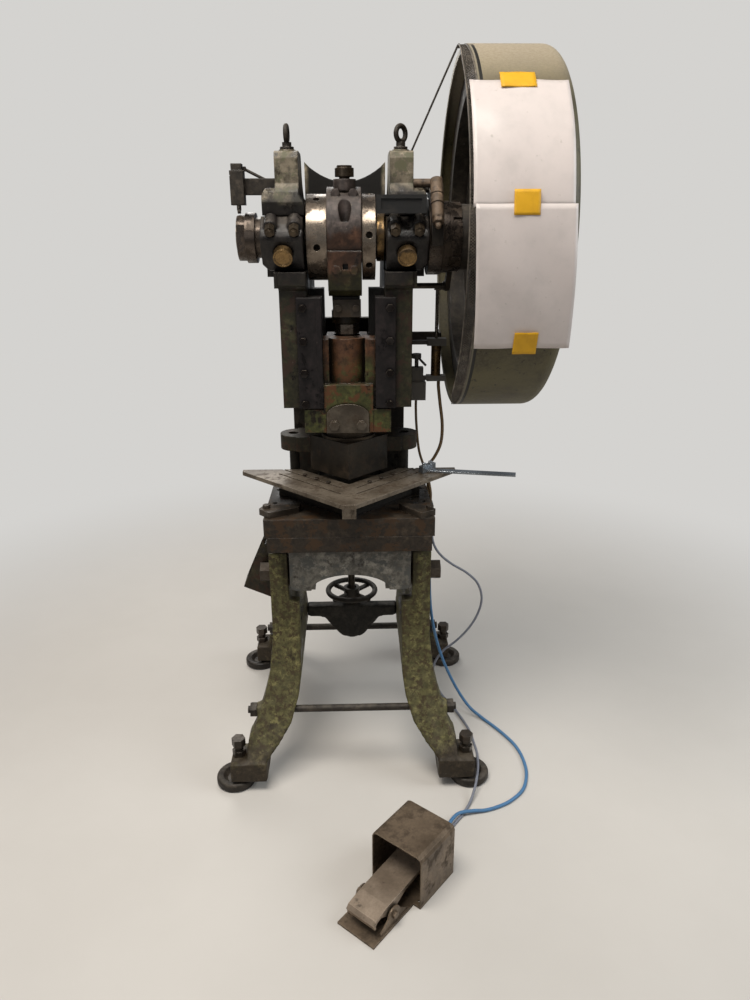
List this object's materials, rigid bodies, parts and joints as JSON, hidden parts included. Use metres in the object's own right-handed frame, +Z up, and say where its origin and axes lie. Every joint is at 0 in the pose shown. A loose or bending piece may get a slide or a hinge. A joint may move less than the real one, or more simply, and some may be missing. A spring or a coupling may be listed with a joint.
{
  "type": "mechanical stamping press",
  "caption": "Inclinable open-back stamping press with a guarded flywheel, a corner-notching tool and a foot pedal.",
  "frame": {"origin": "centre of the bolster's top face, on the ram's axis, from which the shut height is measured", "axes": "+Z up along the ram, +X to the right of the operator towards the flywheel, +Y to the back; the floor is 0.825 m below the origin"},
  "size_m": [0.9621, 1.3284, 2.0313],
  "materials": {
    "left_leg": "old green paint, worn and oily",
    "right_leg": "old green paint, worn and oily",
    "levelling_pads": "dark oily cast iron",
    "levelling_bolts": "dark oily steel",
    "tie_rods": "dark oily steel",
    "cross_beam": "old green paint, worn and oily",
    "pivot_bolts": "dark oily steel",
    "tool_tray": "old green paint, worn and oily",
    "pedal_base": "oiled steel with brown stains",
    "pedal_hood": "oiled steel with brown stains",
    "blue_hose": "blue air hose",
    "grey_cable": "grey cable sheath",
    "pedal_tread": "oiled steel with brown stains",
    "handwheel": "dark oily cast iron",
    "tilt_screw": "dark oily steel",
    "frame_casting": "old green paint, worn and oily",
    "bearing_caps": "old green paint, worn and oily",
    "bearing_brasses": "dull bronze",
    "gibs": "dark oily steel",
    "frame_bolts": "oiled steel with brown stains",
    "eye_bolts": "dark oily cast iron",
    "bolster_plate": "dark oily cast iron",
    "bolster_base": "dark oily cast iron",
    "lower_shoe": "dark oily cast iron",
    "die_block": "dark oily steel",
    "die_table": "oiled steel with brown stains",
    "tool_screws": "dark oily steel",
    "clamps": "dark oily steel",
    "brake_shoe": "dark oily cast iron",
    "brake_springs": "dark oily steel",
    "limit_switch": "old green paint, worn and oily",
    "position_switch": "black switch body",
    "guard_drum": "old olive paint, worn",
    "guard_mesh": "painted expanded metal",
    "guard_stay": "dark oily steel",
    "air_cylinder": "dull bronze",
    "trip_pin": "dark oily steel",
    "air_fittings": "dull cast housing",
    "air_hoses": "brown rubber hose",
    "side_stop": "oiled steel with brown stains",
    "switch_plunger": "oiled steel with brown stains",
    "cylinder_rod": "oiled steel with brown stains",
    "trip_lever": "dark oily steel",
    "crankshaft": "oiled steel with brown stains",
    "eccentric_sleeve": "oiled steel with brown stains",
    "locking_disc": "oiled steel with brown stains",
    "cam_discs": "oiled steel with brown stains",
    "brake_disc": "dark oily steel",
    "clutch_ring": "oiled steel with brown stains",
    "flywheel": "dark oily cast iron",
    "conrod": "dark oily cast iron",
    "conrod_cap": "dark oily cast iron",
    "oil_cup": "dull bronze",
    "adjusting_screw": "oiled steel with brown stains",
    "screw_clamp": "oiled steel with brown stains",
    "ram": "old green paint, worn and oily",
    "shank_clamp": "oiled steel with brown stains",
    "punch_plate": "dull bronze",
    "upper_shoe": "old green paint, worn and oily",
    "punch_block": "oiled steel with brown stains"
  },
  "bodies": {
    "stand": {"left_leg": "left_leg", "right_leg": "right_leg", "levelling_pads": "levelling_pads", "levelling_bolts": "levelling_bolts", "tie_rods": "tie_rods", "cross_beam": "cross_beam", "pivot_bolts": "pivot_bolts", "tool_tray": "tool_tray", "pedal_base": "pedal_base", "pedal_hood": "pedal_hood", "blue_hose": "blue_hose", "grey_cable": "grey_cable"},
    "pedal_tread": {"pedal_tread": "pedal_tread"},
    "handwheel": {"handwheel": "handwheel"},
    "tilt_screw": {"tilt_screw": "tilt_screw"},
    "frame": {"frame_casting": "frame_casting", "bearing_caps": "bearing_caps", "bearing_brasses": "bearing_brasses", "gibs": "gibs", "frame_bolts": "frame_bolts", "eye_bolts": "eye_bolts", "bolster_plate": "bolster_plate", "bolster_base": "bolster_base", "lower_shoe": "lower_shoe", "die_block": "die_block", "die_table": "die_table", "tool_screws": "tool_screws", "clamps": "clamps", "brake_shoe": "brake_shoe", "brake_springs": "brake_springs", "limit_switch": "limit_switch", "position_switch": "position_switch", "guard_drum": "guard_drum", "guard_mesh": "guard_mesh", "guard_stay": "guard_stay", "air_cylinder": "air_cylinder", "trip_pin": "trip_pin", "air_fittings": "air_fittings", "air_hoses": "air_hoses"},
    "side_stop": {"side_stop": "side_stop"},
    "switch_plunger": {"switch_plunger": "switch_plunger"},
    "cylinder_rod": {"cylinder_rod": "cylinder_rod"},
    "trip_lever": {"trip_lever": "trip_lever"},
    "crank": {"crankshaft": "crankshaft", "eccentric_sleeve": "eccentric_sleeve", "locking_disc": "locking_disc", "cam_discs": "cam_discs", "brake_disc": "brake_disc", "clutch_ring": "clutch_ring"},
    "flywheel": {"flywheel": "flywheel"},
    "conrod": {"conrod": "conrod", "conrod_cap": "conrod_cap", "oil_cup": "oil_cup", "adjusting_screw": "adjusting_screw", "screw_clamp": "screw_clamp"},
    "ram": {"ram": "ram", "shank_clamp": "shank_clamp", "punch_plate": "punch_plate", "upper_shoe": "upper_shoe", "punch_block": "punch_block"}
  },
  "joints": [
    {"name": "frame_tilt", "type": "hinge", "parent": "stand", "child": "frame", "pos_m": [0, -0.06, -0.225], "axis": [-1, 0, 0], "range_deg": [0, 20]},
    {"name": "tilt_screw_turn", "type": "hinge", "parent": "frame", "child": "tilt_screw", "pos_m": [0, 0.18, -0.183], "axis": [-1, 0, 0], "range_deg": [-20, 0]},
    {"name": "handwheel_turn", "type": "hinge", "parent": "stand", "child": "handwheel", "pos_m": [0, 0.18, -0.425], "axis": [0, 0, 1], "range_deg": [0, 3060]},
    {"name": "crank_turn", "type": "hinge", "parent": "frame", "child": "crank", "pos_m": [0, 0, 0.747], "axis": [1, 0, 0], "range_deg": [0, 180]},
    {"name": "conrod_swing", "type": "hinge", "parent": "crank", "child": "conrod", "pos_m": [0, 0, 0.762], "axis": [1, 0, 0], "range_deg": [-180, 0]},
    {"name": "ram_slide", "type": "slide", "parent": "frame", "child": "ram", "axis": [0, 0, -1], "range_m": [0, 0.03]},
    {"name": "flywheel_spin", "type": "hinge", "parent": "crank", "child": "flywheel", "pos_m": [0.405, 0, 0.747], "axis": [1, 0, 0], "continuous": true},
    {"name": "stop_slide", "type": "slide", "parent": "frame", "child": "side_stop", "axis": [0.7071, 0.7071, 0], "range_m": [-0.04, 0.03]},
    {"name": "plunger_press", "type": "slide", "parent": "frame", "child": "switch_plunger", "axis": [0, 0, 1], "range_m": [0, 0.004], "stiffness_N_per_m": 600, "springref_m": -0.003},
    {"name": "cylinder_stroke", "type": "slide", "parent": "frame", "child": "cylinder_rod", "axis": [0, 0, 1], "range_m": [0, 0.012]},
    {"name": "trip_turn", "type": "hinge", "parent": "frame", "child": "trip_lever", "pos_m": [0.288, 0.06, 0.615], "axis": [1, 0, 0], "range_deg": [0, 17.2]},
    {"name": "pedal_press", "type": "hinge", "parent": "stand", "child": "pedal_tread", "pos_m": [0.0602, -0.7734, -0.791], "axis": [0.7604, -0.6494, 0], "range_deg": [-7, 0], "stiffness_Nm_per_rad": 12, "springref_deg": 20.05}
  ],
  "couplings": [
    {"joint": "tilt_screw_turn", "follows": "frame_tilt", "ratio": -1},
    {"joint": "handwheel_turn", "follows": "frame_tilt", "ratio": 152},
    {"joint": "conrod_swing", "follows": "crank_turn", "ratio": -1},
    {"joint": "ram_slide", "follows": "crank_turn", "m_per_rad": 0.009549},
    {"joint": "trip_turn", "follows": "cylinder_stroke", "rad_per_m": 25}
  ]
}
